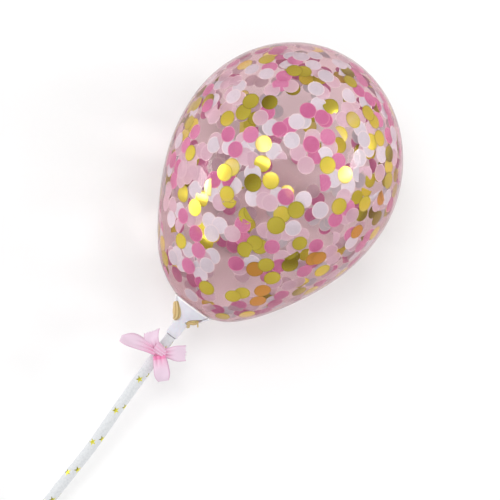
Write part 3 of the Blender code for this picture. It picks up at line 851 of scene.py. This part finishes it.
# paper straw, wound from strips and foil stamped: matt white fibres, a fine ridge
# where the strips meet, and small five-pointed gold stars. A star is r cos(fold -
# 72 degrees) < reach cos 72 degrees, where fold is the angle from its nearest tip;
# in the UV map each star's middle is at whole numbers, after its column's own shift
def paperMaterial():
    material = newMaterial("printedPaper", {"Specular IOR Level": 0.35})
    columnWidth = math.pi * straw["diameter"] / straw["starColumns"]

    def maths(operation, first, second=0.0, third=0.0):
        inputs = {0: first, 1: second, 2: third}
        return addNode(material, "ShaderNodeMath", inputs, operation=operation).outputs[0]

    uv = addNode(material, "ShaderNodeUVMap", uv_map="UVMap").outputs["UV"]
    parts = addNode(material, "ShaderNodeSeparateXYZ", {"Vector": uv})
    column = maths("ROUND", parts.outputs["X"])
    row = maths("MULTIPLY_ADD", column, -1 / straw["starColumns"], parts.outputs["Y"])
    across = maths("MULTIPLY", maths("SUBTRACT", parts.outputs["X"], column), columnWidth)
    along = maths("MULTIPLY", maths("SUBTRACT", row, maths("ROUND", row)), straw["starPitch"])
    reach = maths("SQRT", maths("ADD", maths("MULTIPLY", across, across), maths("MULTIPLY", along, along)))
    fold = maths("PINGPONG", maths("ADD", maths("ARCTAN2", across, along), 0.3), math.radians(36))
    edge = maths("MULTIPLY", reach, maths("COSINE", maths("SUBTRACT", fold, math.radians(72))))
    inside = maths("LESS_THAN", edge, straw["starReach"] * math.cos(math.radians(72)))
    lapped = maths("COMPARE", maths("FLOORED_MODULO", column, straw["starColumns"]), straw["bareColumn"], 0.5)
    star = maths("SUBTRACT", inside, maths("MULTIPLY", inside, lapped))

    place = addNode(material, "ShaderNodeTexCoord").outputs["Object"]
    fibres = addNode(material, "ShaderNodeTexNoise", {"Vector": place, "Scale": 900.0, "Detail": 4.0})
    paper = addNode(material, "ShaderNodeValToRGB", {"Fac": fibres.outputs["Fac"]})
    setRamp(paper, [(0.3, straw["fibreColour"]), (0.6, straw["paperColour"])])
    starSideShade = maths("MULTIPLY_ADD", across, 1 / straw["starReach"], 0.5)  # painted shade: one side of each star is darker
    foil = addNode(material, "ShaderNodeValToRGB", {"Fac": starSideShade})
    setRamp(foil, [(0.35, straw["foilColour"]), (0.85, straw["foilShade"])])
    # painted shadow: a thin dark line across the paper where it goes into the socket
    mouth = cup["depth"] - cup["floorThickness"] / 2 + cup["socketLength"]
    shadowRow = (mouth + straw["socketShadowLine"] / 2 - straw["starPhase"]) / straw["starPitch"]
    socketShadow = maths("COMPARE", parts.outputs["Y"], shadowRow, straw["socketShadowLine"] / 2 / straw["starPitch"])
    shadowed = addNode(material, "ShaderNodeMix", {
        "Factor": socketShadow, 6: paper.outputs["Color"], 7: hexColour(straw["socketShadowColour"])}, data_type="RGBA")
    colour = addNode(material, "ShaderNodeMix", {
        "Factor": star, 6: shadowed.outputs[2], 7: foil.outputs["Color"]}, data_type="RGBA")
    gloss = addNode(material, "ShaderNodeMapRange", {"Value": star, "To Min": 0.65, "To Max": 0.3})

    turns = maths("MULTIPLY", parts.outputs["X"], 1 / straw["starColumns"])
    lead = maths("MULTIPLY_ADD", parts.outputs["Y"], straw["starPitch"] / straw["windLead"], turns)
    seam = addNode(material, "ShaderNodeMapRange", {
        "Value": maths("PINGPONG", lead, 0.5), "From Max": 0.02, "To Min": 1.0, "To Max": 0.0})
    height = maths("MULTIPLY_ADD", seam.outputs["Result"], -1.0, fibres.outputs["Fac"])
    bump = addNode(material, "ShaderNodeBump", {"Height": height, "Strength": 0.35, "Distance": 0.00008})
    linkTo(material, {"Base Color": colour.outputs[2], "Metallic": star,
                      "Roughness": gloss.outputs["Result"], "Normal": bump.outputs["Normal"]})
    return material


# the straw: a ring-shaped profile, down the outside and back up the bore, turned about the axis and bent
# a little to the right as exp(-t squared). Its UV map counts star columns to the left and pitches down
def buildStraw():
    columns, steps = 60, 60
    heights = np.linspace(straw["top"], strawEndHeight, steps)
    heights = np.concatenate([heights, heights[::-1]])
    radii = straw["diameter"] / 2 - straw["wall"] * (np.arange(2 * steps) >= steps)
    angles = np.linspace(0, 2 * math.pi, columns, endpoint=False)
    points = roundAxis(angles[None, :], radii[:, None], heights[:, None])
    bend = straw["bend"] * np.exp(-((heights + straw["bendDrop"]) / straw["bendReach"]) ** 2)
    points[..., 0] += bend[:, None]
    row, column = gridCorners(2 * steps, columns, wrap=True, closed=True)
    pitches = (-heights[row % (2 * steps)] - straw["starPhase"]) / straw["starPitch"]
    angle = 2 * math.pi * column / columns - straw["firstColumn"] - straw["twist"] * pitches
    uv = np.stack([angle / (2 * math.pi) * straw["starColumns"], pitches], axis=-1)
    makePiece("paperStraw", points, gridFaces(2 * steps, columns, wrap=True, closed=True), paperMaterial(),
              ["paper_straw"], uv=uv, sharp=40)


buildStraw()
print("straw made")

# Bow
bow = {
    "width": 0.010,
    "thickness": 0.00025,
    "reach": 0.0221,
    "knotDrop": 0.0309,
    "knotLift": 0.0053,
    "gatherReach": 0.75,
    "rootLift": 0.0011,
    "rootStart": 0.0016,
    "pleats": 3,
    "pleatDepth": 0.0008,
    "bandLength": 0.0060,
    "bandClear": 0.0005,  # between the straw and the turn of ribbon round it, with its swell and its ridges
    "bandSwell": 0.0003,
    "bandRidge": 0.00008,
    "fray": 0.0005,
    "tipStart": 0.7,
    "sway": 0.0004,
    # corners of the knot, up the straw and to the left of the bow's middle: left lower, left upper, right
    # lower, right upper; and how far it stands out
    "knotCorners": ((-0.0027, 0.0036), (0.0047, 0.0036), (-0.0008, -0.0048), (0.0038, -0.0032)),
    "knotRise": 0.0036,
    "knotSink": 0.0015,
    "knotPleat": 0.0003,
    "colour": "#E8CEE0",
    "foldShadeColour": "#EC6FAA",
    "edgeColour": "#DDB0CC",
    "threadSpacing": 0.0005,
    "seed": 5,
}
# heading turns from up the straw to the left, bend adds to it towards the tip, and cant
# turns the width out of the bow's plane, in degrees; reach and rise are shares of the
# bow's reach, gather and spread of the ribbon's width at the knot and beyond it, tip is
# how much of it the rounded end draws in, and shade how deep the painted shade, a deeper
# pink, is at the knot
bowStrips = {
    "leftLoop": {"loop": True, "heading": 98, "bend": 8, "cant": 45, "layer": 1.0,
                 "reach": 1.0, "rise": 0.13, "spread": 0.96, "tip": 0.5, "gather": 0.6, "shade": 0.35},
    "lowerLoop": {"loop": True, "heading": -134, "bend": 0, "cant": 12, "layer": 0.7,
                  "reach": 0.71, "rise": 0.13, "spread": 0.86, "tip": 0.3, "gather": 0.74, "shade": 0.8},
    "rightTail": {"loop": False, "heading": -57, "bend": 2, "cant": 8, "layer": -0.1,
                  "reach": 0.66, "rise": 0.05, "spread": 0.88, "tip": 0.0, "gather": 0.45, "shade": 0.4},
    "upperTail": {"loop": False, "heading": 70, "bend": -16, "cant": -10, "layer": -0.2,
                  "reach": 0.55, "rise": 0.04, "spread": 0.88, "tip": 0.0, "gather": 0.5, "shade": 0.3},
}


# satin ribbon, woven polyester: its long warp threads give a soft shine
# across it, the selvages are a shade darker and the folds at the knot have painted
# shade, a deeper pink. Threads are 0.1 mm apart, and are drawn at 0.5 mm so that they show
def satinMaterial():
    material = newMaterial("satinRibbon", {
        "Roughness": 0.42,
        "Sheen Weight": 0.35,
        "Sheen Roughness": 0.4,
        "Anisotropic": 0.4,
    })
    uv = addNode(material, "ShaderNodeUVMap", uv_map="UVMap").outputs["UV"]
    parts = addNode(material, "ShaderNodeSeparateXYZ", {"Vector": uv})
    fromMiddle = addNode(material, "ShaderNodeMath", {0: parts.outputs["X"]}, operation="ABSOLUTE")
    selvage = addNode(material, "ShaderNodeMapRange", {
        "Value": fromMiddle.outputs["Value"],
        "From Min": 0.42 * bow["width"],
        "From Max": 0.5 * bow["width"]})
    # painted shade: the folded values darken the satin towards a deep pink
    folded = addNode(material, "ShaderNodeAttribute", attribute_name="folded")
    ramp = addNode(material, "ShaderNodeValToRGB", {"Fac": folded.outputs["Fac"]})
    setRamp(ramp, [(0.0, bow["colour"]), (1.0, bow["foldShadeColour"])])
    edge = addNode(material, "ShaderNodeMix", {
        "Factor": selvage.outputs["Result"], 6: ramp.outputs["Color"], 7: hexColour(bow["edgeColour"])},
        data_type="RGBA")
    warp = addNode(material, "ShaderNodeTexWave", {
        "Vector": uv, "Scale": 2 * math.pi / bow["threadSpacing"] / 20, "Distortion": 0.6, "Detail": 2.0},
        bands_direction="X")
    bump = addNode(material, "ShaderNodeBump", {
        "Height": warp.outputs["Fac"], "Strength": 0.3, "Distance": 0.00006})
    linkTo(material, {"Base Color": edge.outputs[2], "Normal": bump.outputs["Normal"]})
    return material


# one strip: its middle goes out from the knot and, if a loop, comes back over itself, rising in
# between, and its width opens out from the gathered root, where it is pleated in waves across
def stripPoints(strip, random):
    count, columns = (97 if strip["loop"] else 49), 25
    share = np.linspace(0, 1, count)
    reach = bow["reach"]
    if strip["loop"]:
        gone = (1 - np.cos(2 * math.pi * share)) / 2
        lift = strip["rise"] * reach * np.sin(2 * math.pi * share) * np.sqrt(gone)
        lift = lift + bow["rootLift"] * strip["layer"] * np.cos(math.pi * share)
    else:
        gone = share
        lift = strip["rise"] * reach * np.sin(math.pi * share)
        lift = lift + bow["rootLift"] * strip["layer"] * (1 - share)
    distance = bow["rootStart"] + (strip["reach"] * reach - bow["rootStart"]) * gone
    heading = math.radians(strip["heading"]) + math.radians(strip["bend"]) * gone ** 2
    flat = np.zeros(count)
    ahead = np.stack([np.cos(heading), np.sin(heading), flat], axis=-1)
    cant = math.radians(strip["cant"])
    level = math.cos(cant)
    aside = np.stack([-np.sin(heading) * level, np.cos(heading) * level, flat + math.sin(cant)], axis=-1)
    square = unit(np.cross(ahead, aside))
    across = np.linspace(-0.5, 0.5, columns)
    opened = smoothStep(0.0, bow["gatherReach"], gone)
    width = bow["width"] * (strip["gather"] + (strip["spread"] - strip["gather"]) * opened)
    width = width * (1 - strip["tip"] * np.clip((gone - bow["tipStart"]) / (1 - bow["tipStart"]), 0, 1) ** 2)
    wave = np.cos(2 * math.pi * bow["pleats"] * across[None] + 0.8) * (1 - opened[:, None])
    wave = wave * np.sqrt(1 - strip["gather"])
    middle = distance[:, None] * ahead + np.stack([flat, flat, lift], axis=-1)
    points = middle[:, None] + (width[:, None] * across[None])[..., None] * aside[:, None]
    sway = bow["sway"] * np.sin(2 * math.pi * gone[:, None] + 5 * across[None]) * opened[:, None]
    points = points + (bow["pleatDepth"] * wave + sway)[..., None] * square[:, None]
    if not strip["loop"]:
        points[-1] += ahead[-1] * (bow["fray"] * random.uniform(-1, 1, columns))[:, None]
    run = np.concatenate([[0.0], np.cumsum(np.linalg.norm(np.diff(middle, axis=0), axis=-1))])
    # painted shade: deeper pink where the ribbon is gathered at the root, in its pleats, and in a band near
    # the knot
    folded = 0.5 * (1 - opened[:, None]) ** 1.6 * (1 - 0.5 * wave)
    folded = np.maximum(folded, strip["shade"] * (1 - smoothStep(0.12, 0.21, gone[:, None])))
    row, column = gridCorners(count, columns)
    uv = np.stack([bow["width"] * across[column], run[row]], axis=-1)
    return points, folded, uv, run[-1]


def buildBow():
    random = np.random.default_rng(bow["seed"])
    satin = satinMaterial()
    knot = np.array([0.0, -bow["knotLift"], -bow["knotDrop"]])
    standing = np.array([[0, 0, 1], [-1, 0, 0], [0, -1, 0]])  # from up, left and out to the topper's own axes
    points, faces, folds, maps, length, total = [], [], [], [], 0.0, 0
    for strip in bowStrips.values():
        grid, folded, uv, part = stripPoints(strip, random)
        faces.append(gridFaces(*grid.shape[:2]) + total)
        points.append((knot + grid @ standing).reshape(-1, 3))
        folds.append(folded.ravel())
        maps.append(uv)
        length += part
        total += folded.size

    # the turn round the straw: a short tube just clear of it, with a few ridges
    steps = np.linspace(-1, 1, 13)
    rows = steps / 2 * bow["bandLength"] - bow["knotDrop"]
    radii = straw["diameter"] / 2 + bow["bandClear"] + bow["bandSwell"] * np.cos(1.4 * steps)
    radii = radii + bow["bandRidge"] * np.cos(5 * math.pi * steps)
    around = np.linspace(0, 2 * math.pi, 64, endpoint=False)
    faces.append(gridFaces(len(steps), len(around), wrap=True) + total)
    points.append(roundAxis(around[None], radii[:, None], rows[:, None]).reshape(-1, 3))
    # painted shade: the turn round the straw, under the knot, is deeper pink
    folds.append(np.full(len(steps) * len(around), 0.4))
    row, column = gridCorners(len(steps), len(around), wrap=True)
    turned = column / len(around) * math.pi * straw["diameter"]
    maps.append(np.stack([steps[row] / 2 * bow["bandLength"], turned], axis=-1))
    length += 1.5 * math.pi * straw["diameter"]
    ribbon = makePiece("ribbonBow", np.concatenate(points), np.concatenate(faces), satin,
                       ["ribbon_bow"], uv=np.concatenate(maps), values={"folded": np.concatenate(folds)})
    addSolidify(ribbon, bow["thickness"], 0.0)

    # the knot: the left loop's ribbon laid over the rest between four corners, its sides turned under as
    # (1 - |v|^3)^0.5, its right end rounded off, and pleats that run along it and draw together to the right
    u, v = np.meshgrid(np.linspace(-1, 1, 45), np.linspace(-1, 1, 61), indexing="ij")
    leftLow, leftHigh, rightLow, rightHigh = (np.array(corner) for corner in bow["knotCorners"])
    right, high = ((1 + u) / 2)[..., None], ((1 + v) / 2)[..., None]
    left = (1 - high) * leftLow + high * leftHigh
    flat = (1 - right) * left + right * ((1 - high) * rightLow + high * rightHigh)
    dome = np.sqrt(1 - np.abs(v) ** 3) * np.sqrt(1 - np.maximum(u, 0) ** 5)
    dome = dome * (1 - 0.2 * np.maximum(-u, 0) ** 2)
    pleat = np.cos(3.6 * math.pi * v + 0.9 * u + 0.4)
    out = bow["knotRise"] * dome - bow["knotSink"] + bow["knotPleat"] * pleat * np.minimum(dome * 2, 1)
    # painted shade: deeper pink along the knot's edges where they turn under, in its pleats, and a little all
    # over it
    deep = np.maximum(smoothStep(0.6, 1.0, -v), smoothStep(0.8, 1.0, u))
    folded = np.clip(0.18 + 0.75 * deep + 0.25 * np.maximum(-pleat, 0) ** 2, 0, 1)
    row, column = gridCorners(45, 61)
    uv = np.stack([v[0][column] * 0.35 * bow["width"], u[:, 0][row] * 0.004], axis=-1)
    grid = np.concatenate([flat, out[..., None]], axis=-1)
    knotPiece = makePiece("bowKnot", knot + grid @ standing, gridFaces(45, 61), satin,
                          uv=uv, values={"folded": folded})
    addSolidify(knotPiece, bow["thickness"], 0.0)
    print("ribbon length", round(length, 4))


buildBow()
print("bow made")
